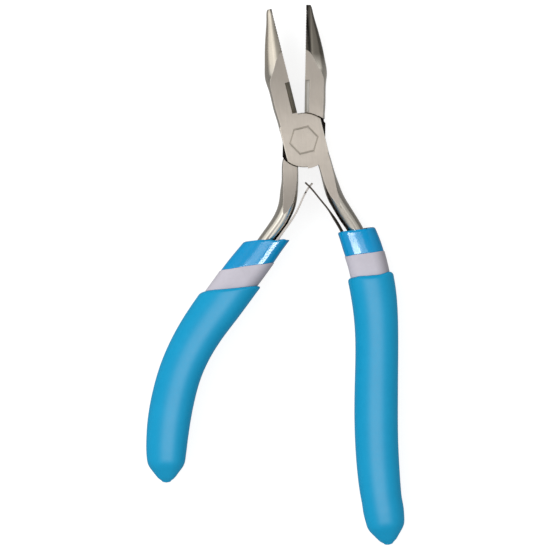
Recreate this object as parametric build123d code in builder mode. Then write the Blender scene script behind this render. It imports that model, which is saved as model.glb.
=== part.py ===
from build123d import *
import os
from math import sin, cos, radians

os.makedirs("parts", exist_ok=True)

# ---------------------------------------------------------------------------
# Needle nose pliers: lap joint, side cutter, double leaf return spring,
# two-stage hand grips.  Millimetres and degrees.
#
# Origin: on the pivot axis, in the flat ground face at the back of the joint.
# +Z runs through the joint from back to front, +Y from the pivot to the jaw
# tips along the line that halves the opening.  Each lever is drawn closed
# (gripping face beside x = 0, tip towards +Y) and then turned to its open rest.
# Lever A: left jaw (-X), front plate of the lap, right handle.
# Lever B: right jaw (+X), rear plate of the lap, left handle.
# ---------------------------------------------------------------------------

# opening
half_open = 7.4              # each lever's turn from closed at rest
handle_set = 0.4             # handles are set this much wider than the jaws
jaw_turn_a, jaw_turn_b = half_open, -half_open
hand_turn_a, hand_turn_b = jaw_turn_a + handle_set, jaw_turn_b - handle_set
side_a, side_b = -1, 1       # side of x = 0 on which each closed jaw lies

# lap joint
joint_thick = 8.0            # across the two ground faces
mid = joint_thick / 2        # lap plane
lap_gap = 0.02               # half of the play between the two lap plates
lap_radius = 6.83            # lap disc
shoulder_radius = 6.95       # concave shoulder the disc turns in
joint_half_width = 5.3       # flats either side of the lap disc
edge_chamfer = 0.2           # on the plate rims and the pivot rivet's head
web_radius = 7.2             # reach of the web between front plate and neck
relief_floor = 1.2           # Z of the floor of lever B's relief pockets
overrun = 1.0                # cutting tools run this far past the steel

# jaws
nose_tip_y = 33.8            # pivot to tip
face_gap = 0.02              # gripping face stands this far off the middle
cutter_y0, cutter_y1 = 7.1, 15.0   # side cutter, along the jaw
bevel_width = 1.25           # one cutter bevel
bevel_back = 0.4             # bevel tool's reach past the middle
tooth_pitch = 0.7            # cross serrations on the gripping faces
tooth_depth = 0.12
tooth_back = 0.2             # tooth tool's reach past the middle
tooth_half = tooth_pitch * 0.6     # half width of the tooth tool at its back
tooth_y0, tooth_y1 = 16.2, 32.6
tooth_count = int((tooth_y1 - tooth_y0) / tooth_pitch) + 1
tooth_places = [(0, tooth_y0 + i * tooth_pitch) for i in range(tooth_count)]

# pivot rivet
rivet_radius = 2.0
rivet_clear = 0.03           # running clearance in lever B
rivet_head_radius = 3.0
rivet_head_thick = 1.2

# plain hexagon outline pressed in the front face
mark_flats = 6.6
mark_line = 0.40
mark_depth = 0.10
mark_overrun = 0.5

# spring leaves and the rivets through leaf root and tang
leaf_thick = 0.45
leaf_width = 4.6             # across Z
leaf_play = 0.02             # on each face of the leaf root
fork_gap = 2.0               # slot in the forked leaf A
tongue_width = 1.5           # tongue of leaf B
tongue_cut = 3.0             # height of the cuts above and below the tongue
leaf_end_cut = (5, 5.6)      # plan size of the cuts that shape a leaf's free end
leaf_end_shift = 0.4         # those cuts are centred this far past the end, in Y
root_station = 10            # row of the shank tables where the leaf is riveted
root_rivet_radius = 0.75
root_hole_clear = 0.02       # in the leaf
root_head_radius, root_head_thick = 1.3, 0.5
upset_radius, upset_thick = 1.2, 0.45
upset_gap = 0.01             # between the upset end and the tang

# room left in the sleeve around the leaf root
space_side = 0.24            # added to the leaf's thickness
space_height = 0.08          # above and below the leaf
space_rivet_radius = 1.42
space_rivet_extra = 0.6      # past the leaf's outer face
space_end_radius, space_end_height = 0.5, 1.6

# grips
band_extra = 0.35            # the band stands this much wider than the collar
corner = 0.44                # corner radius of a section, of its narrow side
grip_end = (0, -150, 0)      # stage plane beyond the ends of both grips
wide_reach = 60              # half width of the trim outline of an end stage
trim_z, trim_height = -20, 60

# jaw sections: distance from the pivot, half width in plan, half height
jaw_a = [
    (nose_tip_y, 1.08, 0.95), (nose_tip_y - 0.28, 1.28, 1.20), (30.5, 2.15, 2.05),
    (28.0, 2.95, 2.72), (26.0, 3.58, 3.22), (24.0, 4.15, 3.68), (22.2, 4.62, 4.08),
    (19.8, 5.22, 4.62), (17.8, 5.68, 5.35), (16.2, 5.76, 6.90), (14.8, 5.62, 8.60),
    (11.0, 5.54, 9.60), (7.5, 5.46, 9.60), (5.2, 5.34, 9.60), (3.0, 5.15, 9.60)]
jaw_b = [
    (nose_tip_y, 1.08, 0.95), (nose_tip_y - 0.28, 1.26, 1.20), (30.5, 2.12, 2.05),
    (28.0, 2.90, 2.72), (26.0, 3.50, 3.22), (24.0, 4.05, 3.68), (22.2, 4.48, 4.08),
    (19.8, 4.98, 4.62), (17.8, 5.38, 5.35), (16.2, 5.44, 6.90), (14.8, 5.30, 8.60),
    (11.0, 5.20, 9.60), (7.5, 5.12, 9.60), (5.2, 5.08, 9.60), (3.0, 4.95, 9.60)]

# steel shank and tang: x, y, lean of the axis from -Y in degrees (+ towards
# +X), width, thickness of the oval section
shank_a = [
    (3.40, -2.6, 0, 3.46, 15.0), (3.56, -5.5, 0, 3.48, 15.0), (3.66, -8.5, 0, 3.50, 14.4),
    (3.70, -11.2, 14, 3.80, 11.8), (3.92, -14.3, 36, 4.60, 9.4),
    (4.52, -17.3, 42, 4.45, 8.2), (5.30, -20.0, 36, 4.25, 7.4),
    (6.20, -22.6, 24, 3.95, 6.8), (7.10, -25.6, 14, 3.80, 6.4),
    (7.60, -29.0, 6, 3.70, 6.0), (7.75, -33.0, 2, 3.70, 5.8),
    (7.60, -38.0, -4, 3.60, 5.6), (6.55, -47.0, -10, 3.60, 5.4),
    (4.90, -54.5, -14, 3.60, 5.2), (2.90, -62.0, -15, 3.50, 5.0),
    (0.90, -69.5, -15, 3.50, 4.8), (-0.90, -77.0, -12.5, 3.40, 4.4),
    (-2.35, -84.5, -9.5, 3.30, 4.2), (-3.05, -89.2, -8, 3.10, 4.0)]
shank_b = [
    (-3.36, -2.6, 0, 3.50, 15.0), (-3.36, -5.5, 0, 3.86, 15.0), (-3.30, -8.5, 0, 4.16, 14.4),
    (-3.30, -11.4, -14, 4.35, 12.4), (-3.63, -14.5, -36, 5.05, 10.2),
    (-4.34, -17.6, -43, 4.55, 8.4), (-5.42, -20.1, -41, 4.05, 7.5),
    (-6.92, -22.45, -38, 3.80, 6.8), (-8.70, -25.0, -34, 3.70, 6.4),
    (-11.0, -28.4, -34.5, 3.70, 6.0), (-13.9, -32.8, -34, 3.70, 5.8),
    (-16.9, -37.2, -34.5, 3.60, 5.6), (-20.1, -41.8, -34.5, 3.60, 5.4),
    (-23.6, -46.9, -32.5, 3.60, 5.4), (-26.9, -52.5, -26.5, 3.60, 5.2),
    (-29.4, -58.5, -18.5, 3.50, 5.0), (-31.1, -64.6, -12.5, 3.50, 4.6),
    (-32.1, -70.6, -7, 3.30, 4.2), (-32.4, -73.6, -5, 3.10, 4.0)]

# grips: x, y, lean, then width and thickness of the sleeve's core, of its
# exposed collar, and of the outer cushion (0 where a stage has ended)
core_column, collar_column, cushion_column = 3, 5, 7
grip_a = [
    (6.55, -21.5, 12, 8.0, 7.6, 9.0, 8.2, 11.0, 10.0),
    (7.05, -25.0, 8, 8.2, 7.6, 9.2, 8.4, 11.2, 10.2),
    (7.45, -28.8, 4, 8.2, 7.6, 9.6, 8.6, 11.4, 10.4),
    (7.75, -33.0, 1, 8.2, 7.6, 9.6, 8.7, 11.4, 10.4),
    (7.65, -37.5, -3, 8.0, 7.6, 9.6, 8.8, 11.4, 10.5),
    (7.35, -41.5, -6, 7.8, 7.6, 9.6, 8.8, 11.4, 10.6),
    (6.55, -47.0, -10, 7.6, 7.6, 0, 0, 11.05, 10.6),
    (4.90, -54.5, -14, 7.4, 7.4, 0, 0, 10.75, 10.5),
    (2.90, -62.0, -15, 7.4, 7.4, 0, 0, 10.80, 10.5),
    (0.90, -69.5, -15, 7.4, 7.4, 0, 0, 10.90, 10.5),
    (-0.90, -77.0, -12.5, 7.4, 7.4, 0, 0, 10.80, 10.4),
    (-2.35, -84.5, -9.5, 7.0, 7.0, 0, 0, 10.60, 10.2),
    (-3.25, -90.7, -7, 6.6, 6.6, 0, 0, 10.20, 9.8),
    (-3.65, -95.2, -5, 5.0, 5.0, 0, 0, 9.65, 9.3),
    (-3.95, -98.4, -5, 0, 0, 0, 0, 8.6, 8.4),
    (-4.25, -101.4, -5, 0, 0, 0, 0, 4.9, 5.0),
    (-4.38, -103.0, -5, 0, 0, 0, 0, 1.9, 2.2)]
grip_b = [
    (-4.46, -19.56, -36, 8.0, 7.6, 8.9, 8.2, 11.0, 10.0),
    (-8.31, -24.77, -36, 8.0, 7.6, 9.0, 8.4, 11.2, 10.2),
    (-10.80, -28.34, -35, 8.0, 7.6, 9.2, 8.6, 11.4, 10.4),
    (-14.10, -32.97, -34, 8.0, 7.6, 9.5, 8.7, 11.4, 10.4),
    (-17.2, -37.3, -34.5, 8.0, 7.6, 9.5, 8.8, 11.4, 10.5),
    (-20.3, -41.8, -34.5, 7.8, 7.6, 9.5, 8.8, 11.35, 10.6),
    (-23.8, -46.9, -32.5, 7.6, 7.6, 0, 0, 11.05, 10.6),
    (-27.0, -52.5, -26.5, 7.4, 7.4, 0, 0, 10.80, 10.5),
    (-29.5, -58.5, -18.5, 7.4, 7.4, 0, 0, 10.70, 10.5),
    (-31.1, -64.6, -12.5, 7.4, 7.4, 0, 0, 10.75, 10.5),
    (-32.1, -70.6, -7, 7.0, 7.0, 0, 0, 10.70, 10.2),
    (-32.55, -76.0, -3, 6.2, 6.2, 0, 0, 10.30, 9.9),
    (-32.65, -79.2, -1, 4.8, 4.8, 0, 0, 9.70, 9.3),
    (-32.6, -81.9, 0, 0, 0, 0, 0, 8.6, 8.4),
    (-32.5, -84.5, 0, 0, 0, 0, 0, 4.9, 5.0),
    (-32.45, -86.1, 0, 0, 0, 0, 0, 1.9, 2.2)]

# planes that start the collar, band and cushion: x, y of a point, lean of the cut
cuts_a = [(7.0, -24.95, -5.5), (7.5, -31.25, -5.5), (7.9, -36.85, -4.0)]
cuts_b = [(-8.8, -24.95, 8.0), (-13.4, -31.9, 9.5), (-17.2, -37.5, 7.6)]

# spring leaves: x, y of the centre line from the free tip to the root on the tang
leaf_a = [
    (-2.35, -10.35), (-1.62, -11.51), (0.22, -15.30), (1.50, -18.10), (2.30, -20.30),
    (3.05, -22.60), (3.60, -24.70), (4.15, -26.80), (5.05, -29.30), (5.60, -31.50),
    (5.655, -33.07), (5.715, -34.70)]
leaf_b = [
    (2.35, -10.75), (1.64, -11.62), (-0.40, -15.60), (-1.45, -18.00), (-2.75, -20.20),
    (-4.40, -22.60), (-6.10, -25.15), (-7.95, -27.95), (-9.60, -30.20), (-11.15, -32.46),
    (-12.16, -33.97), (-13.05, -35.29)]

# plan outlines of the small cuts and the web, in the closed drawing: x, y
shoulder_cut = [(3.0, 6.0), (3.55, 6.12), (6.2, 4.70), (6.2, 3.0), (4.0, 3.0)]
jaw_relief = [(3.55, 6.12), (6.2, 4.70), (6.2, 2.6), (5.15, 1.2), (4.55, 4.2)]
neck_relief = [(-4.0, -5.75), (-6.0, -4.1), (-6.0, -3.4), (-4.6, -4.0)]
web_outline = [
    (-0.5, -5.0),
    *[(web_radius * cos(radians(t)), web_radius * sin(radians(t))) for t in range(-96, -54, 6)],
    (3.0, -4.0)]

# distances from the tang's middle, along the leaf rivet (both tangs are alike)
tang_half = shank_a[root_station][3] / 2
leaf_side = tang_half + leaf_play + leaf_thick + leaf_play
upset_start = tang_half + upset_gap


# ===========================================================================
# Planes and outlines
# ===========================================================================
def turned(x, y, turn):
    """Point or direction of the closed drawing, turned about the pivot."""
    angle = radians(turn)
    return x * cos(angle) - y * sin(angle), x * sin(angle) + y * cos(angle)


def plan_plane(turn, z=0.0):
    """Plan plane of a lever's closed drawing, turned to its open rest."""
    return Plane(origin=(0, 0, z), x_dir=(*turned(1, 0, turn), 0), z_dir=(0, 0, 1))


def station(x, y, lean, turn):
    """Plane square to a handle's centre line: local x across, local y towards +Z."""
    dx, dy = turned(sin(radians(lean)), -cos(radians(lean)), turn)
    return Plane(origin=(*turned(x, y, turn), mid), x_dir=(-dy, dx, 0), z_dir=(dx, dy, 0))


def jaw_plane(y, turn):
    """Plane square to the jaw, facing the pivot: local x across, local y towards +Z."""
    return station(0, y, 0, turn)


def rivet_seat(shank, turn):
    """Middle of the tang at the leaf root, and the unit vector across it."""
    x, y, lean = shank[root_station][:3]
    across_x, across_y = turned(cos(radians(lean)), sin(radians(lean)), turn)
    return (*turned(x, y, turn), mid), (across_x, across_y, 0)


def across(seat, distance):
    """Plane square to the leaf rivet, at a distance from the tang's middle."""
    centre, axis = seat
    return Plane(origin=(centre[0] + axis[0] * distance, centre[1] + axis[1] * distance,
                         centre[2]), z_dir=axis)


def slab(upper_cut, lower_cut, reach=22.0):
    """Plan outline of the space between two stage planes of a grip."""
    corners = []
    for (x, y, lean), side in ((upper_cut, -1), (upper_cut, 1), (lower_cut, 1), (lower_cut, -1)):
        angle = radians(lean)
        corners.append((x + side * reach * cos(angle), y + side * reach * sin(angle)))
    return corners


def mirrored(outline, side):
    """Plan outline drawn for the +X side, put on the given side."""
    return [(side * x, y) for x, y in outline]


def bevel_section(side, face):
    """Section of the cutter bevel tool; face is 1 for the front, -1 for the back."""
    return [(-side * bevel_back, 0), (0.0, 0), (side * bevel_width, face * (mid + 0.01)),
            (side * bevel_width, face * (mid + overrun)),
            (-side * bevel_back, face * (mid + overrun))]


def tooth_outline(side):
    """Plan of the tool that cuts one serration."""
    return [(side * (face_gap + tooth_depth), 0), (-side * tooth_back, -side * tooth_half),
            (-side * tooth_back, side * tooth_half)]


def save(part, name):
    part.label = name
    export_step(part, f"parts/{name}.step")


# ===========================================================================
# Lever forms: lofts cut flat to the thickness of the joint
# ===========================================================================
def jaw_form(sections, side, turn):
    face_x = side * face_gap
    with BuildPart() as form:
        for y, half_width, half_height in sections:
            with BuildSketch(jaw_plane(y, turn)):
                with BuildLine():
                    EllipticalCenterArc((face_x, 0), half_width, half_height,
                                        start_angle=-side * 90, arc_size=180)
                    Line((face_x, half_height), (face_x, -half_height))
                make_face()
        loft()
        with BuildSketch(Plane.XY):
            Rectangle(90, 90)
        extrude(amount=joint_thick, mode=Mode.INTERSECT)
    return form.part


def shank_form(sections, turn):
    with BuildPart() as form:
        for x, y, lean, width, thick in sections:
            with BuildSketch(station(x, y, lean, turn)):
                Ellipse(width / 2, thick / 2)
        loft()
        with BuildSketch(Plane.XY):
            Rectangle(260, 260)
        extrude(amount=joint_thick, mode=Mode.INTERSECT)
    return form.part


seat_a = rivet_seat(shank_a, hand_turn_a)
seat_b = rivet_seat(shank_b, hand_turn_b)

# ===========================================================================
# Lever A
# ===========================================================================
with BuildPart() as lever_a:
    # front plate of the lap
    with BuildSketch(plan_plane(jaw_turn_a, mid + lap_gap)):
        Circle(lap_radius)
        Rectangle(2 * joint_half_width, 3 * lap_radius, mode=Mode.INTERSECT)
    extrude(amount=mid - lap_gap)
    front_rim = lever_a.faces().sort_by(Axis.Z)[-1].edges()
    chamfer(front_rim, length=edge_chamfer)
    add(jaw_form(jaw_a, side_a, jaw_turn_a))
    add(shank_form(shank_a, hand_turn_a))
    # web that carries the front plate into the neck
    with BuildSketch(plan_plane(jaw_turn_a, mid + lap_gap)):
        Polygon(*web_outline, align=None)
    extrude(amount=mid - lap_gap)
    # recess for the other lever's disc, behind the lap plane
    with BuildSketch(plan_plane(jaw_turn_a, -overrun)):
        Circle(shoulder_radius)
    extrude(amount=mid + lap_gap + overrun, mode=Mode.SUBTRACT)
    # clearance ground off the jaw's shoulder beside the disc
    with BuildSketch(plan_plane(jaw_turn_a, -overrun)):
        Polygon(*mirrored(shoulder_cut, side_a), align=None)
    extrude(amount=mid + lap_gap + overrun, mode=Mode.SUBTRACT)
    # cutter bevels, front and back
    for face in (1, -1):
        with BuildSketch(jaw_plane(cutter_y1, jaw_turn_a)):
            Polygon(*bevel_section(side_a, face), align=None)
        extrude(amount=cutter_y1 - cutter_y0, mode=Mode.SUBTRACT)
    # cross serrations on the gripping face
    with BuildSketch(plan_plane(jaw_turn_a, -overrun)):
        with Locations(*tooth_places):
            Polygon(*tooth_outline(side_a), align=None)
    extrude(amount=joint_thick + 2 * overrun, mode=Mode.SUBTRACT)
    # hole for the pivot rivet
    with BuildSketch(plan_plane(jaw_turn_a, -overrun)):
        Circle(rivet_radius)
    extrude(amount=joint_thick + 2 * overrun, mode=Mode.SUBTRACT)
    # plain hexagon outline pressed into the front face
    with BuildSketch(plan_plane(jaw_turn_a, joint_thick - mark_depth)):
        RegularPolygon(mark_flats / 2, 6, major_radius=False)
        RegularPolygon(mark_flats / 2 - mark_line, 6, major_radius=False, mode=Mode.SUBTRACT)
    extrude(amount=mark_depth + mark_overrun, mode=Mode.SUBTRACT)
    # hole across the tang for the leaf rivet
    with BuildSketch(across(seat_a, 0)):
        Circle(root_rivet_radius)
    extrude(amount=4, both=True, mode=Mode.SUBTRACT)

save(lever_a.part, "lever_a")

# ===========================================================================
# Lever B
# ===========================================================================
with BuildPart() as lever_b:
    # rear plate of the lap
    with BuildSketch(plan_plane(jaw_turn_b)):
        Circle(lap_radius)
        Rectangle(2 * joint_half_width, 3 * lap_radius, mode=Mode.INTERSECT)
    extrude(amount=mid - lap_gap)
    rear_rim = lever_b.faces().sort_by(Axis.Z)[0].edges()
    chamfer(rear_rim, length=edge_chamfer)
    add(jaw_form(jaw_b, side_b, jaw_turn_b))
    add(shank_form(shank_b, hand_turn_b))
    # recess for lever A's disc, in front of the lap plane
    with BuildSketch(plan_plane(jaw_turn_b, mid - lap_gap)):
        Circle(shoulder_radius)
    extrude(amount=mid + lap_gap + overrun, mode=Mode.SUBTRACT)
    # clearance ground off the jaw's shoulder beside the disc
    with BuildSketch(plan_plane(jaw_turn_b, mid - lap_gap)):
        Polygon(*mirrored(shoulder_cut, side_b), align=None)
    extrude(amount=mid + lap_gap + overrun, mode=Mode.SUBTRACT)
    # relief pockets where the disc's corners turn past the shoulders
    with BuildSketch(plan_plane(jaw_turn_b, relief_floor)):
        Polygon(*jaw_relief, align=None)
        Polygon(*neck_relief, align=None)
    extrude(amount=mid, mode=Mode.SUBTRACT)
    # cutter bevels, front and back
    for face in (1, -1):
        with BuildSketch(jaw_plane(cutter_y1, jaw_turn_b)):
            Polygon(*bevel_section(side_b, face), align=None)
        extrude(amount=cutter_y1 - cutter_y0, mode=Mode.SUBTRACT)
    # cross serrations on the gripping face
    with BuildSketch(plan_plane(jaw_turn_b, -overrun)):
        with Locations(*tooth_places):
            Polygon(*tooth_outline(side_b), align=None)
    extrude(amount=joint_thick + 2 * overrun, mode=Mode.SUBTRACT)
    # running hole and counterbore for the pivot rivet
    with BuildSketch(plan_plane(jaw_turn_b, -overrun)):
        Circle(rivet_radius + rivet_clear)
    extrude(amount=joint_thick + 2 * overrun, mode=Mode.SUBTRACT)
    with BuildSketch(plan_plane(jaw_turn_b, -overrun)):
        Circle(rivet_head_radius + rivet_clear)
    extrude(amount=rivet_head_thick + rivet_clear + overrun, mode=Mode.SUBTRACT)
    # hole across the tang for the leaf rivet
    with BuildSketch(across(seat_b, 0)):
        Circle(root_rivet_radius)
    extrude(amount=4, both=True, mode=Mode.SUBTRACT)

save(lever_b.part, "lever_b")

# ===========================================================================
# Pivot rivet: shank fast and flush in lever A, head let into lever B's back
# ===========================================================================
with BuildPart() as pivot_rivet:
    with BuildSketch(Plane.XY):
        Circle(rivet_head_radius)
    extrude(amount=rivet_head_thick)
    chamfer(pivot_rivet.edges().group_by(Axis.Z)[0], length=edge_chamfer)
    with BuildSketch(Plane.XY.offset(rivet_head_thick)):
        Circle(rivet_radius)
    extrude(amount=joint_thick - rivet_head_thick)

save(pivot_rivet.part, "pivot_rivet")


# ===========================================================================
# Spring leaves: root riveted to the tang, free ends hooked together.
# Leaf A ends in a fork, leaf B in a tongue that passes through it.
# ===========================================================================
def leaf_spring(points, turn, seat, end_cuts):
    """Leaf along its centre line; end_cuts lists the floor and height of each end cut."""
    tip_x, tip_y = points[0]
    with BuildPart() as leaf:
        with BuildSketch(plan_plane(turn, mid - leaf_width / 2)):
            with BuildLine() as centre_line:
                Spline(*points)
            trace(centre_line.line, leaf_thick)
        extrude(amount=leaf_width)
        for floor, height in end_cuts:
            with BuildSketch(plan_plane(turn, floor)):
                with Locations((tip_x, tip_y + leaf_end_shift)):
                    Rectangle(*leaf_end_cut)
            extrude(amount=height, mode=Mode.SUBTRACT)
        with BuildSketch(across(seat, 0)):
            Circle(root_rivet_radius + root_hole_clear)
        extrude(amount=6, both=True, mode=Mode.SUBTRACT)
    return leaf.part


fork_cuts = [(mid - fork_gap / 2, fork_gap)]
tongue_cuts = [(mid + tongue_width / 2, tongue_cut),
               (mid - tongue_width / 2 - tongue_cut, tongue_cut)]
save(leaf_spring(leaf_a, hand_turn_a, seat_a, fork_cuts), "leaf_spring_a")
save(leaf_spring(leaf_b, hand_turn_b, seat_b, tongue_cuts), "leaf_spring_b")


# ===========================================================================
# Rivets that hold the leaf roots: head on the leaf, upset end behind the tang
# ===========================================================================
def spring_rivet(seat, head_start, shank_start, tail_start):
    """Rivet whose three parts each start at a distance from the tang's middle."""
    with BuildPart() as rivet:
        for start, radius, length in (
                (head_start, root_head_radius, root_head_thick),
                (shank_start, root_rivet_radius, leaf_side + upset_start),
                (tail_start, upset_radius, upset_thick)):
            with BuildSketch(across(seat, start)):
                Circle(radius)
            extrude(amount=length)
    return rivet.part


save(spring_rivet(seat_a, -leaf_side - root_head_thick, -leaf_side, upset_start),
     "spring_rivet_a")
save(spring_rivet(seat_b, leaf_side, -upset_start, -upset_start - upset_thick),
     "spring_rivet_b")


# ===========================================================================
# Grips: slim sleeve with a bare collar, band, outer cushion
# ===========================================================================
def grip_stage(stations, turn, column, outline, extra=0.0, core=None):
    """Loft of one pair of grip columns, trimmed to a plan outline, less the core."""
    with BuildPart() as stage:
        for row in stations:
            width, thick = row[column:column + 2]
            if width > 0:
                with BuildSketch(station(*row[:3], turn)):
                    RectangleRounded(width + extra, thick + extra,
                                     corner * min(width, thick) + extra / 2)
        loft()
        with BuildSketch(plan_plane(turn, trim_z)):
            Polygon(*outline, align=None)
        extrude(amount=trim_height, mode=Mode.INTERSECT)
        if core is not None:
            add(core, mode=Mode.SUBTRACT)
    return stage.part


def leaf_space(points, turn, seat):
    """Room for the leaf and its rivet."""
    with BuildPart() as space:
        with BuildSketch(plan_plane(turn, mid - leaf_width / 2 - space_height)):
            with BuildLine() as centre_line:
                Spline(*points)
            trace(centre_line.line, leaf_thick + space_side)
        extrude(amount=leaf_width + 2 * space_height)
        with BuildSketch(across(seat, 0)):
            Circle(space_rivet_radius)
        extrude(amount=leaf_side + space_rivet_extra, both=True)
        with BuildSketch(plan_plane(turn, mid - space_end_height / 2)):
            with Locations(points[-1]):
                Circle(space_end_radius)
        extrude(amount=space_end_height)
    return space.part


def save_grip(letter, stations, cuts, turn, leaf_room, lever):
    collar_cut, band_cut, cushion_cut = cuts
    core = grip_stage(stations, turn, core_column, slab(collar_cut, grip_end, wide_reach))
    collar = grip_stage(stations, turn, collar_column, slab(collar_cut, band_cut))
    with BuildPart() as sleeve:
        add(core)
        add(collar)
        add(leaf_room, mode=Mode.SUBTRACT)
        # moulded on, so it fits the steel exactly
        add(lever, mode=Mode.SUBTRACT)
    save(sleeve.part, f"grip_sleeve_{letter}")

    band = grip_stage(stations, turn, collar_column, slab(band_cut, cushion_cut),
                      extra=band_extra, core=core)
    save(band, f"grip_band_{letter}")

    cushion = grip_stage(stations, turn, cushion_column,
                         slab(cushion_cut, grip_end, wide_reach), core=core)
    save(cushion, f"grip_cushion_{letter}")


save_grip("a", grip_a, cuts_a, hand_turn_a, leaf_space(leaf_a, hand_turn_a, seat_a),
          lever_a.part)
save_grip("b", grip_b, cuts_b, hand_turn_b, leaf_space(leaf_b, hand_turn_b, seat_b),
          lever_b.part)
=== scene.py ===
"""Slip-joint style hand tool: two crossing steel levers with blue and grey grips.

The pivot's axis is Z through the origin and the tool lies flat. The jaws point to +Y
and the handles to -Y. Handle a is on the +X side and its jaw on the -X side; lever b
is the other way round. Drawings are in mm with the tool closed; each part is turned
about the pivot to its rest position.
"""
import bpy
import bmesh
import math
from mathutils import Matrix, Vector


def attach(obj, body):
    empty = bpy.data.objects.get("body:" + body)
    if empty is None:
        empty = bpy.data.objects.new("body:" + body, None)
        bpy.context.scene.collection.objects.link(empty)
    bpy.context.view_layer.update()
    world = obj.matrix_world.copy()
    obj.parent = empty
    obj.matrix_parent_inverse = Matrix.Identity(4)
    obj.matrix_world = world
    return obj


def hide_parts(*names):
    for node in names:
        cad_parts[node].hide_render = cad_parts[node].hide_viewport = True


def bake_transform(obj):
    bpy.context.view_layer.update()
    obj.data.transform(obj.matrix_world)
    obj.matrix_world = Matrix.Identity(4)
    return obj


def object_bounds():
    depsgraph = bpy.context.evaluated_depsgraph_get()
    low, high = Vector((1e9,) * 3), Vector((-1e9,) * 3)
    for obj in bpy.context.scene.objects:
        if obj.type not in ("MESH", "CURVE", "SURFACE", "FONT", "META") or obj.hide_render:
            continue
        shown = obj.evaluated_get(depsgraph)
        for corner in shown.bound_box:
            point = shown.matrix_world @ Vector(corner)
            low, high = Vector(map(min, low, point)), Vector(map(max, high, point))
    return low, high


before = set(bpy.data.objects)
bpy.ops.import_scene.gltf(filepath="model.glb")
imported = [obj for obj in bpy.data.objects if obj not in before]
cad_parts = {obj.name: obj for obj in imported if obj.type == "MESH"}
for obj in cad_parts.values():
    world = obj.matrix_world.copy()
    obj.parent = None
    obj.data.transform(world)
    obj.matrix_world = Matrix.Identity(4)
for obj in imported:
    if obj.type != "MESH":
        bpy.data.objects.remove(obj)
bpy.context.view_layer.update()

MM = 0.001
MID_HEIGHT = 4.0        # mid plane of the tool, mm
HANDLE_TURN = 7.8       # each handle's turn from closed at rest, degrees
JAW_TURN = 7.4          # each jaw's turn, degrees


# --------------------------------------------------------------------------
# geometry helpers: millimetres inside, metres in the meshes
# --------------------------------------------------------------------------
class Spline:
    """Natural cubic spline of one value along a list of stations."""

    def __init__(self, stations, values):
        count = len(stations)
        self.stations, self.values = stations, values
        lower, diagonal = [0.0] * count, [1.0] * count
        upper, right = [0.0] * count, [0.0] * count
        for i in range(1, count - 1):
            before = stations[i] - stations[i - 1]
            after = stations[i + 1] - stations[i]
            lower[i], diagonal[i], upper[i] = before, 2 * (before + after), after
            right[i] = 6 * ((values[i + 1] - values[i]) / after
                            - (values[i] - values[i - 1]) / before)
        for i in range(1, count):
            factor = lower[i] / diagonal[i - 1]
            diagonal[i] -= factor * upper[i - 1]
            right[i] -= factor * right[i - 1]
        self.bends = [0.0] * count
        self.bends[-1] = right[-1] / diagonal[-1]
        for i in range(count - 2, -1, -1):
            self.bends[i] = (right[i] - upper[i] * self.bends[i + 1]) / diagonal[i]

    def __call__(self, station):
        stations, values, bends = self.stations, self.values, self.bends
        station = min(max(station, stations[0]), stations[-1])
        i = 0
        while i < len(stations) - 2 and station > stations[i + 1]:
            i += 1
        step = stations[i + 1] - stations[i]
        near, far = (stations[i + 1] - station) / step, (station - stations[i]) / step
        return (near * values[i] + far * values[i + 1]
                + ((near ** 3 - near) * bends[i] + (far ** 3 - far) * bends[i + 1])
                * step * step / 6)


class CentreLine:
    """Smooth plan line through rows of x, y and any widths, by arc length."""

    def __init__(self, rows, turn, step):
        stations = [0.0]
        for last, row in zip(rows, rows[1:]):
            stations.append(stations[-1] + math.hypot(row[0] - last[0], row[1] - last[1]))
        self.length = stations[-1]
        self.turn = math.radians(turn)
        self.step = step            # reach of the direction estimate to either side
        self.x, self.y, *self.widths = [Spline(stations, column) for column in zip(*rows)]

    def direction(self, station):
        start = max(station - self.step, 0)
        end = min(station + self.step, self.length)
        along_x, along_y = self.x(end) - self.x(start), self.y(end) - self.y(start)
        size = math.hypot(along_x, along_y)
        return along_x / size, along_y / size

    def drawn(self, station, across):
        """Plan point of the closed drawing; across is positive on the +X side."""
        along_x, along_y = self.direction(station)
        return self.x(station) - along_y * across, self.y(station) + along_x * across

    def placed(self, station, across, height):
        """Point at rest, height measured from the mid plane."""
        x, y = self.drawn(station, across)
        cos, sin = math.cos(self.turn), math.sin(self.turn)
        return x * cos - y * sin, x * sin + y * cos, MID_HEIGHT + height


def smooth(x):
    x = min(max(x, 0.0), 1.0)
    return x * x * (3 - 2 * x)


def new_object(name, verts, faces, weld=False):
    mesh = bpy.data.meshes.new(name)
    mesh.from_pydata([(x * MM, y * MM, z * MM) for x, y, z in verts], [], faces)
    mesh.update()
    edit = bmesh.new()
    edit.from_mesh(mesh)
    if weld:
        bmesh.ops.remove_doubles(edit, verts=edit.verts, dist=1e-7)
    bmesh.ops.recalc_face_normals(edit, faces=edit.faces)
    edit.to_mesh(mesh)
    edit.free()
    for face in mesh.polygons:
        face.use_smooth = True
    return link_object(name, mesh)


def link_object(name, data):
    item = bpy.data.objects.new(name, data)
    bpy.context.scene.collection.objects.link(item)
    return item


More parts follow.
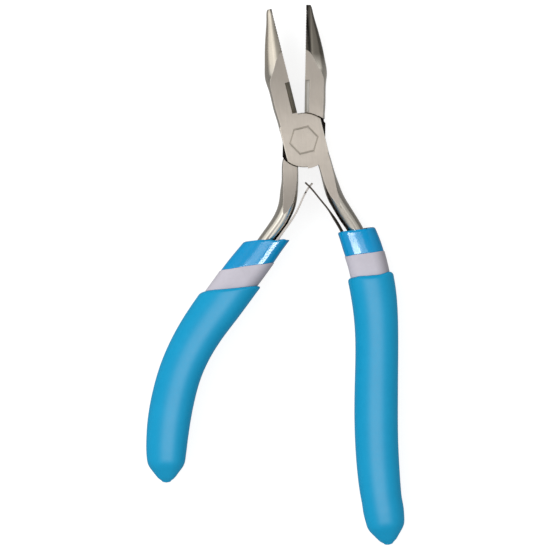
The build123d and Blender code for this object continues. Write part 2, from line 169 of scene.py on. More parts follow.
# --------------------------------------------------------------------------
# grips: a sleeve, a narrow band and a long cushion along each handle
# --------------------------------------------------------------------------
# centre line x, y, then half widths of the sleeve and of the cushion
GRIP_A = [
    (6.20, -19.5, 4.40, 5.50), (6.55, -21.5, 4.50, 5.50), (7.05, -25.0, 4.60, 5.60),
    (7.45, -28.8, 4.80, 5.70), (7.72, -33.0, 4.80, 5.72), (7.65, -37.5, 4.80, 5.74),
    (7.35, -41.5, 4.80, 5.70), (6.55, -47.0, 4.60, 5.52), (4.90, -54.5, 4.50, 5.37),
    (2.90, -62.0, 4.50, 5.40), (0.90, -69.5, 4.50, 5.45), (-0.90, -77.0, 4.50, 5.40),
    (-2.35, -84.5, 4.50, 5.30), (-3.25, -90.7, 4.40, 5.10), (-3.65, -95.2, 4.20, 4.84),
    (-3.95, -98.4, 4.00, 4.45), (-4.25, -101.4, 3.50, 3.4), (-4.40, -103.3, 3.0, 2.6)]
GRIP_B = [
    (-2.86, -17.62, 4.22, 5.50), (-4.36, -19.62, 4.34, 5.50), (-8.22, -24.83, 4.42, 5.60),
    (-10.72, -28.40, 4.56, 5.70), (-14.10, -32.97, 4.75, 5.72), (-17.2, -37.3, 4.75, 5.74),
    (-20.3, -41.8, 4.75, 5.68), (-23.8, -46.9, 4.60, 5.53), (-27.0, -52.5, 4.50, 5.40),
    (-29.5, -58.5, 4.50, 5.35), (-31.1, -64.6, 4.50, 5.38), (-32.1, -70.6, 4.50, 5.35),
    (-32.55, -76.0, 4.30, 5.15), (-32.65, -79.2, 4.20, 4.85), (-32.6, -81.9, 4.00, 4.35),
    (-32.5, -84.5, 3.50, 3.4), (-32.42, -86.4, 3.0, 2.6)]
# Edges in order: sleeve's start, sleeve to band, band to cushion. Each is a plane's
# x, y and lean in degrees, then how far the edge waves from it by angle round the grip
EDGES_A = [
    (7.0, -24.95, -5.5, lambda angle: 0.10 * math.sin(2 * angle)),
    (7.5, -31.25, -5.5,
     lambda angle: 0.06 * math.sin(2 * angle + 0.5) + 0.04 * math.cos(5 * angle)),
    (7.9, -36.85, -4.0,
     lambda angle: 0.22 * math.sin(3.0 * math.cos(angle) + 0.4) + 0.05 * math.cos(5 * angle))]
EDGES_B = [
    (-8.8, -24.95, 8.0,
     lambda angle: (0.70 * math.exp(-((math.cos(angle) - 0.42) / 0.40) ** 2)
                    + 0.75 * smooth((math.cos(angle) - 0.62) / 0.36))),
    (-13.4, -31.9, 9.5,
     lambda angle: 0.05 * math.sin(2 * angle + 1.5) + 0.04 * math.cos(6 * angle)),
    (-17.2, -37.5, 7.6,
     lambda angle: 0.10 * math.sin(2.0 * math.cos(angle) - 0.6) + 0.05 * math.cos(4 * angle))]
SLEEVE_FLATTEN = 0.90       # depth over width
CUSHION_FLATTEN = 0.925
BAND_RISE = 0.15            # band's surface above the sleeve's
LIP_STEPS = 8
TAIL = 9.0                  # closely ringed length at the cushion's free end
TAIL_STEPS = 45
THINNEST = 0.001            # keeps narrowed sections from vanishing
# half width of the cushion's blunt end by distance from its point
BLUNT_END = Spline([0.0, 0.10, 0.35, 0.9, 1.6, 2.6, 3.6, 4.3, 5.0, 6.2, 8.5, 12.0],
                   [0.0, 0.62, 1.10, 1.78, 2.45, 3.22, 3.98, 4.40, 4.66, 4.86, 5.08, 5.30])


def superellipse(angle, half_width, half_depth, power):
    def reach(half, value):
        return half * math.copysign(abs(value) ** (2.0 / power), value)
    return reach(half_width, math.cos(angle)), reach(half_depth, math.sin(angle))


def find_station(line, edge, across, wave):
    """Station where the line offset by across meets an edge, by bisection."""
    edge_x, edge_y, lean, _ = edge
    lean = math.radians(lean)
    low, high = 0.0, line.length * 0.75
    for _ in range(36):
        middle = 0.5 * (low + high)
        x, y = line.drawn(middle, across)
        past = (x - edge_x) * math.sin(lean) - (y - edge_y) * math.cos(lean)
        if past - wave < 0:
            low = middle
        else:
            high = middle
    return 0.5 * (low + high)


def lip_profile(station, radius, inset, sign):
    """(station, shrink) pairs up an end face and over its rounded edge."""
    angles = [math.pi / 2 * i / LIP_STEPS for i in range(LIP_STEPS + 1)]
    return ([(station, inset), (station, 0.5 * (inset + radius))]
            + [(station + sign * radius * (1 - math.cos(angle)), radius * (1 - math.sin(angle)))
               for angle in angles])


def grip_tube(name, line, width, depth, power, start, end, start_lip, inset, rings,
              end_lip=None, segments=112):
    """One stage of a grip, from one edge to the next, or to the handle's end if end
    is None. width and depth are half sizes by station, the lips radii of the rounded
    edges, and inset how far the end faces run inwards."""

    def meet(edge, angle):
        station = line.length * 0.2
        for _ in range(5):
            across, _height = superellipse(angle, width(station), depth(station), power)
            station = find_station(line, edge, across, edge[3](angle))
        return station

    def profile(angle):
        first = meet(start, angle)
        if end:
            last, closing = meet(end, angle), end_lip
            finish = lip_profile(last, end_lip, inset, -1)[::-1]
        else:
            last, closing = line.length, TAIL
            finish = [(last - TAIL * (1 - i / TAIL_STEPS) ** 1.6, 0.0)
                      for i in range(TAIL_STEPS + 1)]
        run = last - first - start_lip - closing
        return (lip_profile(first, start_lip, inset, 1)
                + [(first + start_lip + run * i / rings, 0.0) for i in range(1, rings)]
                + finish)

    verts, faces = [], []
    for k in range(segments):
        angle = 2 * math.pi * (k + 0.5) / segments
        pairs = profile(angle)
        for i, (station, shrink) in enumerate(pairs):
            half_width = width(station)
            ratio = max(half_width - shrink, THINNEST) / max(half_width, THINNEST)
            across, height = superellipse(angle, half_width * ratio,
                                          max(depth(station) - shrink, THINNEST), power)
            edge = start if i < len(pairs) // 2 else end
            if shrink > 0.0 and edge:
                # keep the narrowed edge in the oblique plane
                along_x, along_y = line.direction(station)
                lean = math.radians(edge[2])
                sin, cos = math.sin(lean), math.cos(lean)
                shift = across * (1.0 - 1.0 / ratio)
                station -= (shift * (-along_y * sin - along_x * cos)
                            / (along_x * sin - along_y * cos))
            verts.append(line.placed(min(station, line.length), across, height))
    count = len(pairs)
    for k in range(segments):
        here, beside = k * count, (k + 1) % segments * count
        for i in range(count - 1):
            faces.append((here + i, here + i + 1, beside + i + 1, beside + i))
    return new_object(name, verts, faces, weld=True)


def build_grip(tag, rows, edges, turn, body):
    line = CentreLine(rows, turn, step=0.05)
    sleeve_width, plain_width = line.widths
    mouth, sleeve_seam, band_seam = edges

    def sleeve_depth(station):
        return sleeve_width(station) * SLEEVE_FLATTEN

    def cushion_width(station):
        """Blends into the blunt end from 12 to 8 mm before the point."""
        left = max(line.length - station, 0.0)
        plain = smooth((left - 8.0) / 4.0)
        return BLUNT_END(left) * (1 - plain) + plain_width(station) * plain

    sleeve = grip_tube("sleeve_" + tag, line, sleeve_width, sleeve_depth, power=2.7,
                       start=mouth, end=sleeve_seam, start_lip=0.50, end_lip=0.12,
                       inset=1.6, rings=36)
    band = grip_tube("band_" + tag, line, lambda station: sleeve_width(station) + BAND_RISE,
                     lambda station: sleeve_depth(station) + BAND_RISE, power=2.7,
                     start=sleeve_seam, end=band_seam, start_lip=0.12, end_lip=0.10,
                     inset=1.2, rings=24)
    cushion = grip_tube("cushion_" + tag, line, cushion_width,
                        lambda station: cushion_width(station) * CUSHION_FLATTEN, power=2.55,
                        start=band_seam, end=None, start_lip=0.95,
                        inset=1.9, rings=110, segments=128)
    for piece, node, slot in ((sleeve, "grip_sleeve_", "sleeve_gloss_blue"),
                              (band, "grip_band_", "band_grey"),
                              (cushion, "grip_cushion_", "cushion_satin_blue")):
        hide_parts(node + tag)
        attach(piece, body)
    return sleeve, band, cushion


grips = [build_grip("a", GRIP_A, EDGES_A, HANDLE_TURN, "front_lever"),
         build_grip("b", GRIP_B, EDGES_B, -HANDLE_TURN, "rear_lever")]


# --------------------------------------------------------------------------
# spring leaves: a strip swept along its line, forked or tongued at its +Y end
# --------------------------------------------------------------------------
# centre line x, y from the forked or tongued end
LEAF_A = [
    (-2.35, -10.35), (-1.62, -11.51), (0.22, -15.30), (1.50, -18.10), (2.30, -20.30),
    (3.05, -22.60), (3.60, -24.70), (4.15, -26.80), (5.05, -29.30), (5.60, -31.50),
    (5.655, -33.07), (5.715, -34.70)]
LEAF_B = [
    (2.35, -10.75), (1.64, -11.62), (-0.40, -15.60), (-1.45, -18.00), (-2.75, -20.20),
    (-4.40, -22.60), (-6.10, -25.15), (-7.95, -27.95), (-9.60, -30.20),
    (-11.15, -32.46), (-12.16, -33.97), (-13.05, -35.29)]
LEAF_HALF_THICK = 0.45 / 2
LEAF_HALF_WIDTH = 4.6 / 2
PRONG_LENGTH = 2.75         # of the fork or tongue
PRONG_OVERLAP = 0.02        # into the blade
CHAMFER = 0.07
WIDTH_STEPS = 10
# low edge, high edge (from the mid plane) and corner radius of each prong
FORK = [(1.0, LEAF_HALF_WIDTH, 0.45), (-LEAF_HALF_WIDTH, -1.0, 0.45)]
TONGUE = [(-0.75, 0.75, 0.55)]
BEND_START, BEND_END = 15.2, 7.0    # stations between which the real leaf flexes


def leaf_section(low, high, half):
    """Closed loop of (height, thickness) with chamfered corners."""
    nick = CHAMFER * 0.3
    flat = high - low - 2 * CHAMFER
    steps = range(WIDTH_STEPS + 1)
    return ([(low + CHAMFER + flat * j / WIDTH_STEPS, half) for j in steps]
            + [(high - nick, half - nick), (high, half - CHAMFER),
               (high, -half + CHAMFER), (high - nick, -half + nick)]
            + [(high - CHAMFER - flat * j / WIDTH_STEPS, -half) for j in steps]
            + [(low + nick, -half + nick), (low, -half + CHAMFER),
               (low, half - CHAMFER), (low + nick, half - nick)])


def build_leaf(name, rows, turn, prongs, swell):
    """swell is the extra half thickness part way along the blade."""
    line = CentreLine(rows, turn, step=0.03)
    verts, faces = [], []

    def strip(start, end, low, high, corner, steps):
        """Solid strip between two stations, its corners rounded at the start."""
        base = len(verts)
        for i in range(steps + 1):
            station = start + (end - start) * i / steps
            to_go = max(corner - (station - start), 0.0)
            pull = corner - math.sqrt(max(corner * corner - to_go ** 2, 0))
            half = LEAF_HALF_THICK + (swell * smooth((station - 8.5) / 4.0)
                                      * (1 - smooth((station - 17.0) / 3.0)))
            loop = leaf_section(low + pull, high - pull, half)
            verts.extend(line.placed(station, thick, height) for height, thick in loop)
        ring = len(loop)
        for i in range(steps):
            for j in range(ring):
                here = base + i * ring + j
                beside = base + i * ring + (j + 1) % ring
                faces.append((here, beside, beside + ring, here + ring))
        faces.append(tuple(base + j for j in range(ring)))
        faces.append(tuple(base + steps * ring + j for j in range(ring))[::-1])

    for low, high, corner in prongs:
        strip(0.0, PRONG_LENGTH + PRONG_OVERLAP, low, high, corner, steps=26)
    strip(PRONG_LENGTH, line.length, -LEAF_HALF_WIDTH, LEAF_HALF_WIDTH, corner=0.5, steps=90)
    leaf = new_object(name, verts, faces)
    leaf.data.set_sharp_from_angle(angle=math.radians(40))
    return leaf, line


def metres_at(line, station):
    return tuple(value * MM for value in line.placed(station, 0, 0))


leaves = []
for tag, rows, turn, prongs, swell, body, joint in (
        ("a", LEAF_A, HANDLE_TURN, FORK, 0.16, "front_lever", "forked_leaf"),
        ("b", LEAF_B, -HANDLE_TURN, TONGUE, 0.08, "rear_lever", "tongue_leaf")):
    leaf, line = build_leaf("leaf_" + tag, rows, turn, prongs, swell)
    leaves.append(leaf)
    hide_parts("leaf_spring_" + tag)
    metres_at(line, BEND_START)
    metres_at(line, BEND_END)
    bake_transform(leaf)


# --------------------------------------------------------------------------
# shader helpers
# --------------------------------------------------------------------------
class Graph:
    """Builds a node tree; any input may be a socket or a plain value."""

    def __init__(self, owner):
        owner.use_nodes = True
        self.tree = owner.node_tree
        self.tree.nodes.clear()

    def node(self, kind, inputs=None, **settings):
        made = self.tree.nodes.new("ShaderNode" + kind)
        for key, value in settings.items():
            setattr(made, key, value)
        for key, value in (inputs or {}).items():
            if isinstance(value, bpy.types.NodeSocket):
                self.tree.links.new(value, made.inputs[key])
            else:
                made.inputs[key].default_value = value
        return made

    def first(self, kind, inputs=None, **settings):
        """Adds a node and gives its first output."""
        return self.node(kind, inputs, **settings).outputs[0]

    def calc(self, operation, *values, clamp=False):
        return self.first("Math", dict(enumerate(values)), operation=operation, use_clamp=clamp)

    def product(self, *values):
        total = values[0]
        for value in values[1:]:
            total = self.calc("MULTIPLY", total, value)
        return total

    def dot(self, one, other):
        return self.node("VectorMath", {0: one, 1: other},
                         operation="DOT_PRODUCT").outputs["Value"]

    def ramp(self, factor, stops, interpolation="LINEAR"):
        made = self.node("ValToRGB", {0: factor})
        made.color_ramp.interpolation = interpolation
        elements = made.color_ramp.elements
        while len(elements) > 1:
            elements.remove(elements[-1])
        elements[0].position, elements[0].color = stops[0]
        for position, colour in stops[1:]:
            elements.new(position).color = colour
        return made.outputs[0]

    def grey_ramp(self, factor, *stops):
        return self.ramp(factor, [(position, grey(level)) for position, level in stops])

    def mix(self, factor, one, other, blend="MIX"):
        return self.node("Mix", {0: factor, 6: one, 7: other},
                         data_type="RGBA", blend_type=blend).outputs[2]

    def tint(self, colour, by):
        return self.mix(1.0, colour, by, "MULTIPLY")

    def mix_value(self, factor, one, other):
        return self.first("Mix", {0: factor, 2: one, 3: other}, data_type="FLOAT")

    def noise(self, vector, scale, detail=3.0, rough=0.55, distortion=0.0):
        return self.node("TexNoise", {"Vector": vector, "Scale": scale, "Detail": detail,
                                      "Roughness": rough,
                                      "Distortion": distortion}).outputs["Fac"]


def new_material(name):
    material = bpy.data.materials.new(name)
    return material, Graph(material)


def grey(level):
    return level, level, level, 1


def shaded(stops, green, blue):
    """Ramp stops from (position, level), green and blue relative to red."""
    return [(position, (level, level * green, level * blue, 1)) for position, level in stops]


def rgb(*channels):
    """sRGB 0-255 to linear."""
    def linear(value):
        value /= 255.0
        return value / 12.92 if value <= 0.04045 else ((value + 0.055) / 1.055) ** 2.4
    return (*map(linear, channels), 1.0)


# --------------------------------------------------------------------------
# steel
# --------------------------------------------------------------------------
JAW_TIP = 33.8                  # along the jaw from the pivot, mm
BEVEL_ALONG = (7.1, 15.06)      # extent of the cutting bevel along the jaw
BEVEL_WIDTH = 1.28
RIVET_RADIUS = 2.6
LAP_REACH = 7.8                 # the lap's extent to either side in Y
LAP_FLOOR = 0.6                 # its lowest height
TONE_SLOPE = 0.02               # ramp position per mm of Y
TONE_ZERO = 0.4                 # ramp position at the pivot


def jaw_axes(graph, coords, side, scale):
    """Distances along a jaw and outwards from its gripping face, in metres by scale."""
    turn = math.radians(-side * JAW_TURN)
    sin, cos = math.sin(turn), math.cos(turn)
    return (graph.dot(coords, (-sin * scale, cos * scale, 0)),
            graph.dot(coords, (side * cos * scale, side * sin * scale, 0)))


def paint_jaw_reflections(graph, coords, colour, jaw):
    """Painted reflections on the round surfaces beyond the joint: painted shade towards the
    gripping face and, where the tones rise, painted light outwards.
    """
    along, outward = jaw_axes(graph, coords, jaw["side"], scale=1000)
    flare = graph.product(graph.calc("SUBTRACT", JAW_TIP, along), jaw["flare"])
    width = graph.calc("ADD", jaw["tip_width"], flare)
    share = graph.calc("DIVIDE", outward, width, clamp=True)
    tone = graph.ramp(share, shaded(jaw["tones"], green=0.97, blue=0.93))
    # fades in from 18 to 21.6 mm along the jaw
    reach = graph.grey_ramp(graph.product(along, 0.025), (0.45, 0), (0.54, 1))
    return graph.mix(reach, colour, graph.tint(colour, tone))


def cutting_bevel(graph, coords, upright, mottle, colour, jaw):
    """Matte fresh grind beside the gripping face: colour and metallic value. Its colours are
    painted light and shade, dark on lever a's jaw and light on lever b's, each with a lighter
    painted highlight line.
    """
    along, outward = jaw_axes(graph, coords, jaw["side"], scale=1)
    inside = graph.product(graph.calc("GREATER_THAN", along, BEVEL_ALONG[0] * MM),
                           graph.calc("LESS_THAN", along, BEVEL_ALONG[1] * MM),
                           graph.calc("LESS_THAN", outward, BEVEL_WIDTH * MM),
                           graph.calc("LESS_THAN", upright, 0.6))
    plain, line = jaw["bevel"], jaw["bevel_highlight"]
    # painted light and shade: the bevel's colour with a lighter painted highlight line near its
    # outer side
    bevel_shade_and_highlight = graph.ramp(graph.product(outward, 1000.0),
                        [(0.0, plain), (0.62, plain), (0.80, line), (1.0, plain)])
    colour = graph.mix(inside, colour, graph.tint(bevel_shade_and_highlight, mottle))
    return colour, graph.calc("SUBTRACT", 1.0, inside)


def steel(name, flat_colour, round_colour, flat_rough=0.42, round_rough=0.24, grain=1.0,
          flat_light_tones=None, round_light_tones=None, lap_shade_height=None, jaw=None, gap_shade_amount=1.0,
          dull_level=None):
    """Ground flats with a fine grain along the tool; polished round parts.

    The tones are (y in mm, brightness), painted light and shade along the tool;
    lap_shade_height is the height below which the lap is painted near black, painted shade in
    its gaps, and dull_level the low and high bound of a duller flat, in mm."""
    material, graph = new_material(name)
    coords = graph.node("TexCoord").outputs["Object"]
    normal = graph.node("NewGeometry").outputs["Normal"]
    own_normal = graph.first("VectorTransform", {0: normal}, vector_type="NORMAL",
                             convert_from="WORLD", convert_to="OBJECT")
    upright = graph.calc("ABSOLUTE", graph.node("SeparateXYZ", {0: own_normal}).outputs["Z"])
    x, y, z = graph.node("SeparateXYZ", {0: coords}).outputs
    # ground flats face straight up or down
    facing = graph.grey_ramp(upright, (0.955, 0), (0.99, 1))

    # grinding grain: streaks stretched along the tool
    grain_turn = math.radians(jaw["side"] * JAW_TURN) if jaw else 0.0

    def streaks(scale, detail):
        stretched = graph.first("Mapping", {"Scale": scale, "Rotation": (0, 0, grain_turn),
                                            "Vector": coords})
        return graph.noise(stretched, scale=1.0, detail=detail)

    fine = streaks(scale=(5200, 260, 1500), detail=4.0)
    broad = streaks(scale=(1500, 120, 700), detail=3.0)
    cloud = graph.noise(coords, scale=240.0, detail=4.0, rough=0.6, distortion=0.6)
    blots = graph.noise(coords, scale=900.0, rough=0.6)
    grinding = graph.calc("ADD", graph.product(fine, 0.55), graph.product(broad, 0.45))
    streak = graph.grey_ramp(grinding, (0.33, 0.94), (0.68, 1.04))
    mottle = graph.ramp(cloud, [(0.30, (0.96, 0.955, 0.95, 1)), (0.70, (1.03, 1.03, 1.035, 1))])
    flat = graph.tint(graph.tint(flat_colour, streak), mottle)
    polish = graph.tint(round_colour, graph.ramp(cloud, [(0.3, (0.96, 0.96, 0.95, 1)),
                                                         (0.7, grey(1.02))]))

    # painted light and shade: brightness along the tool
    def tone_ramp(tones, green, blue, interpolation="LINEAR"):
        place = graph.calc("ADD", graph.product(y, TONE_SLOPE / MM), TONE_ZERO)
        stops = [(TONE_ZERO + TONE_SLOPE * at, level) for at, level in tones]
        return graph.ramp(place, shaded(stops, green, blue), interpolation)

    if flat_light_tones:
        flat = graph.tint(flat, tone_ramp(flat_light_tones, 0.995, 0.985, "B_SPLINE"))
    if round_light_tones:
        polish = graph.tint(polish, tone_ramp(round_light_tones, 0.99, 0.98))
    if jaw:
        polish = paint_jaw_reflections(graph, coords, polish, jaw)
    if dull_level:
        at_level = graph.product(graph.calc("GREATER_THAN", z, dull_level[0] * MM),
                                 graph.calc("LESS_THAN", z, dull_level[1] * MM))
        flat = graph.mix(at_level, flat, graph.tint(flat, (0.66, 0.65, 0.62, 1)))
    colour = graph.mix(facing, polish, flat)

    # edges are painted lighter, partly a little more polish and partly a painted highlight, but
    # none shows around the pivot rivet
    bevel = graph.first("Bevel", {"Radius": 0.00022}, samples=6)
    edge = graph.grey_ramp(graph.dot(bevel, normal), (0.80, 1), (0.985, 0))
    radius = graph.calc("SQRT", graph.calc("ADD", graph.calc("POWER", x, 2.0),
                                           graph.calc("POWER", y, 2.0)))
    rivet = graph.calc("LESS_THAN", radius, RIVET_RADIUS * MM)
    edge = graph.product(edge, graph.calc("SUBTRACT", 1.0, rivet),
                         graph.grey_ramp(blots, (0.35, 0.35), (0.65, 1)))
    colour = graph.mix(graph.product(edge, 0.45), colour, rgb(235, 230, 224))
    rough = graph.mix_value(facing, round_rough, flat_rough)
    uneven = graph.product(graph.calc("SUBTRACT", grinding, 0.5), 0.22 * grain)
    rough = graph.mix_value(graph.product(edge, 0.6), graph.calc("ADD", rough, uneven), 0.22)
    soft_normal = graph.node("Mix", {0: rivet, 4: bevel, 5: normal},
                             data_type="VECTOR").outputs[1]
    height = graph.product(grinding, graph.mix_value(facing, 0.25, 1.0))
    bump = graph.first("Bump", {"Strength": 0.10 * grain, "Distance": 0.00003,
                                "Height": height, "Normal": soft_normal})

    if gap_shade_amount > 0:
        # painted shade: occlusion darkens the colour in the gaps of the lap and in the recesses
        gaps = graph.node("AmbientOcclusion", {"Distance": 0.0020}, samples=6).outputs["AO"]
        gap_shade = graph.ramp(gaps, [(0.10, (0.10, 0.09, 0.08, 1)), (0.30, (0.55, 0.53, 0.50, 1)),
                                  (0.52, grey(1))])
        colour = graph.mix(gap_shade_amount, colour, gap_shade, "MULTIPLY")
    if lap_shade_height is not None:
        # painted shade: surfaces at or under the lap plane, seen only through the gaps, are
        # painted near black
        level = graph.product(graph.grey_ramp(upright, (0.60, 0), (0.85, 1)),
                              graph.calc("LESS_THAN", z, lap_shade_height * MM))
        near = graph.product(graph.calc("LESS_THAN", graph.calc("ABSOLUTE", y), LAP_REACH * MM),
                             graph.calc("GREATER_THAN", z, LAP_FLOOR * MM))
        colour = graph.mix(graph.product(level, near), colour, (0.012, 0.010, 0.008, 1))
    metallic = 1.0
    if jaw:
        colour, metallic = cutting_bevel(graph, coords, upright, mottle, colour, jaw)
    shader = graph.first("BsdfPrincipled", {"Base Color": colour, "Metallic": metallic,
                                            "Roughness": rough, "Normal": bump})
    graph.node("OutputMaterial", {0: shader})
    return material


# --------------------------------------------------------------------------
# vinyl
# --------------------------------------------------------------------------
# the side facing this way gets painted shade in the vinyl
SHADED_SIDE = (0.994, -0.113, 0.0)     # world direction, close to +X


def vinyl(name, base, dark, rough, rough_range, bump, specular, painted_side_shade, grain_scale=5200.0):
    """Moulded soft vinyl: faint clouding, fine matte grain, small dust pits.

    painted_side_shade is how much darker the side facing +X is painted: painted shade, as the
    light falls from the other side."""
    material, graph = new_material(name)
    coords = graph.node("TexCoord").outputs["Object"]
    cloud = graph.noise(coords, scale=160.0, detail=4.0, rough=0.6, distortion=0.4)
    mottle = graph.noise(coords, scale=1100.0, rough=0.6)
    grain = graph.noise(coords, scale=grain_scale, rough=0.65)
    cells = graph.node("TexVoronoi", {"Scale": 2600.0, "Vector": coords}, feature="F1")
    pits = graph.grey_ramp(cells.outputs["Distance"], (0.05, 1), (0.14, 0))

    clouding = graph.calc("ADD", graph.product(cloud, 0.65), graph.product(mottle, 0.35))
    colour = graph.mix(graph.grey_ramp(clouding, (0.36, 0), (0.64, 1)), dark, base)
    colour = graph.mix(graph.product(pits, 0.10), colour, dark)
    towards = graph.dot(graph.node("NewGeometry").outputs["Normal"], SHADED_SIDE)
    # painted shade on the side facing +X
    colour = graph.tint(colour, graph.grey_ramp(towards, (0.15, 1), (0.80, 1.0 - painted_side_shade)))

    for texture in (mottle, grain):
        uneven = graph.product(graph.calc("SUBTRACT", texture, 0.5), rough_range)
        rough = graph.calc("ADD", rough, uneven)
    height = graph.calc("ADD", graph.product(grain, 0.6), graph.product(mottle, 0.5))
    height = graph.calc("SUBTRACT", height, graph.product(pits, 0.25))
    normal = graph.first("Bump", {"Strength": bump, "Distance": 0.00008, "Height": height})
    shader = graph.first("BsdfPrincipled", {
        "Base Color": colour, "Roughness": rough, "Specular IOR Level": specular,
        "Coat Weight": 0.0, "Coat Roughness": 0.06, "Normal": normal})
    graph.node("OutputMaterial", {0: shader})
    return material


# --------------------------------------------------------------------------
# the tool's materials
# --------------------------------------------------------------------------
LEVER_COLOURS = dict(flat_colour=rgb(220, 212, 203), round_colour=rgb(232, 228, 219))

# jaw: side is its X direction; tip_width and flare (per mm back from the tip) give the
# width over which the tones, (share of width, brightness), run. These jaw tones are painted
# reflections, and the flat and round tones painted light and shade along the tool. The bevel
# colours are painted shade on lever a's jaw and painted light on lever b's, and bevel_highlight
# is a painted highlight line
lever_steel_a = steel(
    "lever_steel_a", **LEVER_COLOURS, dull_level=(7.85, 7.96),
    flat_light_tones=[(-18, 0.80), (-13, 0.84), (-8, 0.88), (-3, 1.0), (3, 0.98), (9, 0.79),
                (17, 0.60)],
    round_light_tones=[(-19, 0.66), (-12, 0.80), (-6, 1.0), (20, 1.0)],
    jaw=dict(side=-1, tip_width=1.1, flare=0.315,
             tones=[(0.0, 0.14), (0.08, 0.26), (0.30, 0.34), (0.50, 1.05), (1.0, 1.16)],
             bevel=rgb(96, 88, 70), bevel_highlight=rgb(112, 104, 86)))
lever_steel_b = steel(
    "lever_steel_b", **LEVER_COLOURS, lap_shade_height=4.6,
    flat_light_tones=[(-18, 0.57), (-13.5, 0.585), (-9, 0.74), (-5, 0.90), (3, 0.98), (9, 0.79),
                (17, 0.68)],
    round_light_tones=[(14, 1.0), (20, 0.95)],
    jaw=dict(side=1, tip_width=1.35, flare=0.055,
             tones=[(0.0, 0.07), (0.62, 0.13), (0.86, 0.34), (1.0, 0.26)],
             bevel=rgb(190, 186, 176), bevel_highlight=rgb(240, 238, 232)))
rivet_steel = steel("rivet_steel", rgb(190, 184, 178), rgb(205, 200, 195),
                    flat_rough=0.36, round_rough=0.22)
LEAF_FINISH = dict(flat_rough=0.34, round_rough=0.30, grain=0.6)
# one spring steel in two copies: leaf a's dark colour and its darkening towards the collar are
# painted shade, and leaf b's pale colour is painted light
leaf_steels_shaded_and_lit = [
    steel("spring_steel_a_shaded", rgb(96, 90, 84), rgb(104, 98, 92), **LEAF_FINISH, gap_shade_amount=0.4,
          flat_light_tones=[(-28, 0.10), (-22, 0.12), (-17, 0.9), (-10, 1.0)]),
    steel("spring_steel_b_lit", rgb(212, 206, 202), rgb(206, 200, 196), **LEAF_FINISH, gap_shade_amount=0.0)]
# in the order of a grip's stages: sleeve, band, cushion
gloss_blue = vinyl("sleeve_gloss_blue", base=rgb(2, 144, 199), dark=rgb(0, 140, 195),
                   rough=0.15, rough_range=0.03, bump=0.012, specular=0.22,
                   painted_side_shade=0.22, grain_scale=2600.0)
satin_blue = vinyl("cushion_satin_blue", base=rgb(6, 150, 196), dark=rgb(0, 146, 192),
                   rough=0.44, rough_range=0.08, bump=0.07, specular=0.16, painted_side_shade=0.12)
band_grey = vinyl("band_grey", base=rgb(196, 192, 202), dark=rgb(189, 185, 195),
                  rough=0.42, rough_range=0.08, bump=0.06, specular=0.3, painted_side_shade=0.42)


def paint(item, material):
    if not item.material_slots:
        item.data.materials.append(material)
    for slot in item.material_slots:
        slot.link = "OBJECT"
        slot.material = material


for node, material in (("lever_a", lever_steel_a), ("lever_b", lever_steel_b),
                       ("pivot_rivet", lever_steel_a), ("spring_rivet_a", rivet_steel),
                       ("spring_rivet_b", rivet_steel)):
    paint(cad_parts[node], material)
for leaf, material in zip(leaves, leaf_steels_shaded_and_lit):
    paint(leaf, material)
for grip in grips:
    for piece, material in zip(grip, (gloss_blue, band_grey, satin_blue)):
        paint(piece, material)


# --------------------------------------------------------------------------
# floor, metres
# --------------------------------------------------------------------------
FLOOR_SIZE = 1.6
FLOOR_CELLS = 24
FLOOR_GAP = 0.00002         # below the tool


def floor_material():
    material, graph = new_material("floor_pale")
    rays = graph.node("LightPath").outputs
    geometry = graph.node("NewGeometry").outputs
    to_camera = graph.first("AddShader", {
        0: graph.first("BsdfDiffuse", {"Color": (0.34, 0.34, 0.34, 1)}),
        1: graph.first("Emission", {"Color": (1, 1, 1, 1), "Strength": 0.80})})
    to_diffuse = graph.first("BsdfDiffuse", {"Color": (0.62, 0.62, 0.62, 1)})
    # seen in polished metal: bright only where it stretches away to the horizon
    slope = graph.node("SeparateXYZ", {0: geometry["Incoming"]}).outputs["Z"]
    strength = graph.grey_ramp(slope, (0.04, 0.75), (0.15, 0.60), (0.28, 0.20), (1.0, 0.30))
    to_glossy = graph.first("Emission", {"Color": (1.0, 0.98, 0.95, 1), "Strength": strength})
    shader = graph.first("MixShader", {0: rays["Is Glossy Ray"], 1: to_diffuse, 2: to_glossy})
    shader = graph.first("MixShader", {0: rays["Is Camera Ray"], 1: shader, 2: to_camera})
    # clear from underneath, so the back of the tool can be looked at
    clear = graph.first("BsdfTransparent")
    shader = graph.first("MixShader", {0: geometry["Backfacing"], 1: shader, 2: clear})
    graph.node("OutputMaterial", {0: shader})
    material.cycles.emission_sampling = "NONE"
    return material


def build_floor():
    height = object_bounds()[0][2] - FLOOR_GAP
    row = FLOOR_CELLS + 1
    ticks = [(i / FLOOR_CELLS - 0.5) * FLOOR_SIZE for i in range(row)]
    verts = [(x, y, height) for y in ticks for x in ticks]
    faces = [(j * row + i, j * row + i + 1, (j + 1) * row + i + 1, (j + 1) * row + i)
             for j in range(FLOOR_CELLS) for i in range(FLOOR_CELLS)]
    mesh = bpy.data.meshes.new("floor")
    mesh.from_pydata(verts, [], faces)
    mesh.update()
    floor = link_object("floor", mesh)
    mesh.materials.append(floor_material())


build_floor()


# --------------------------------------------------------------------------
# studio, metres: placed by the camera's own right and up
# --------------------------------------------------------------------------
CAMERA_TURN = math.radians(6.5)         # the camera's up leans this far from +Y to +X
CAMERA_UP = Vector((math.sin(CAMERA_TURN), math.cos(CAMERA_TURN), 0))
CAMERA_RIGHT = Vector((math.cos(CAMERA_TURN), -math.sin(CAMERA_TURN), 0))
VIEW_RIGHT, VIEW_UP = -7.25, -33.75     # view centre from the pivot, mm


def from_camera(right, up, height):
    return CAMERA_RIGHT * right + CAMERA_UP * up + Vector((0, 0, height))


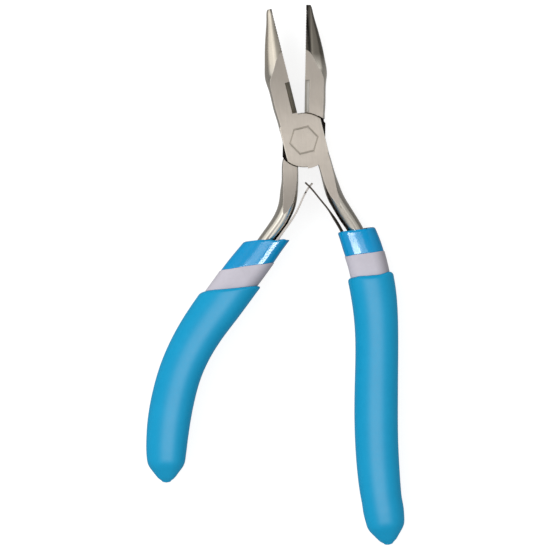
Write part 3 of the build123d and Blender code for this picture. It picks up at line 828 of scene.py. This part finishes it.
def build_world():
    """Even light for soft surfaces, and a room of soft patches for polished ones."""
    world = bpy.data.worlds.new("studio")
    bpy.context.scene.world = world
    graph = Graph(world)
    world.cycles.sampling_method = "NONE"
    view = graph.node("TexCoord").outputs["Generated"]

    def patch(direction, full, none, strength):
        """Round light, full and gone at these degrees from its direction."""
        nearness = graph.dot(view, from_camera(*direction).normalized())
        return graph.node("MapRange", {
            "From Min": math.cos(math.radians(none)), "From Max": math.cos(math.radians(full)),
            "To Min": 0.0, "To Max": strength, "Value": nearness},
            interpolation_type="SMOOTHSTEP").outputs["Result"]

    room = 0.10
    for light in (patch((0.0, -0.10, 1.0), full=28, none=72, strength=0.84),      # ceiling
                  patch((-1.0, 0.10, 0.25), full=32, none=60, strength=0.80),     # left
                  patch((0.95, 0.25, 0.15), full=30, none=52, strength=0.60),     # right
                  patch((0.75, -0.60, 0.30), full=26, none=48, strength=0.35)):   # low right
        room = graph.calc("ADD", room, light)
    # unlit patch ahead of the tips
    dark = patch((0.20, 0.48, 0.85), full=10, none=27, strength=0.85)
    room = graph.calc("MAXIMUM", graph.calc("SUBTRACT", room, dark), 0.05)
    even = graph.first("Background", {0: (1, 1, 1, 1), 1: 0.86})
    reflected = graph.first("Background", {0: (1.0, 0.99, 0.97, 1), 1: room})
    glossy = graph.node("LightPath").outputs["Is Glossy Ray"]
    shader = graph.first("MixShader", {0: glossy, 1: even, 2: reflected})
    graph.node("OutputWorld", {0: shader})


def area(name, place, size, power, target, receivers=None):
    """Area light; with receivers it is a soft box seen only in their gloss."""
    lamp = bpy.data.lights.new(name, "AREA")
    lamp.shape = "RECTANGLE"
    lamp.size, lamp.size_y = size
    lamp.energy = power
    item = bpy.data.objects.new(name, lamp)
    target = Vector(target)
    item.location = position = target + from_camera(*place)
    aim = (target - position).normalized()
    item.rotation_euler = aim.to_track_quat("-Z", "Y").to_euler()
    bpy.context.scene.collection.objects.link(item)
    item.visible_diffuse = receivers is None
    item.visible_glossy = receivers is not None
    if receivers is not None:
        item.light_linking.receiver_collection = receivers


def build_lights():
    area("key_left", place=(-0.40, 0.26, 0.48), size=(0.34, 0.46), power=1.55,
         target=(0, -0.03, 0.004))
    collars = bpy.data.collections.new("collars")
    cushions = bpy.data.collections.new("cushions")
    for sleeve, _, cushion in grips:
        collars.objects.link(sleeve)
        cushions.objects.link(cushion)
    area("strip_left", place=(-0.20, -0.07, 0.60), size=(0.15, 0.34), power=6.0,
         target=(0.012, -0.026, 0.006), receivers=collars)
    area("strip_right", place=(0.28, -0.20, 0.60), size=(0.14, 0.30), power=6.0,
         target=(-0.012, -0.026, 0.006), receivers=collars)
    area("overhead", place=(0.0, -0.05, 0.62), size=(0.20, 0.26), power=5.0,
         target=(0.0, -0.06, 0.006), receivers=cushions)
    area("overhead_gloss", place=(0.02, -0.05, 0.62), size=(0.16, 0.26), power=0.8,
         target=(0.0, -0.03, 0.006), receivers=collars)


def build_camera():
    lens = bpy.data.cameras.new("camera")
    lens.type = "ORTHO"
    lens.ortho_scale = 0.1375
    lens.clip_start, lens.clip_end = 0.01, 5.0
    camera = link_object("camera", lens)
    camera.location = from_camera(VIEW_RIGHT * MM, VIEW_UP * MM, 0.6)
    camera.rotation_euler = (0, 0, -CAMERA_TURN)
    bpy.context.scene.camera = camera


build_world()
build_lights()
build_camera()
bpy.context.scene.view_settings.view_transform = "Standard"
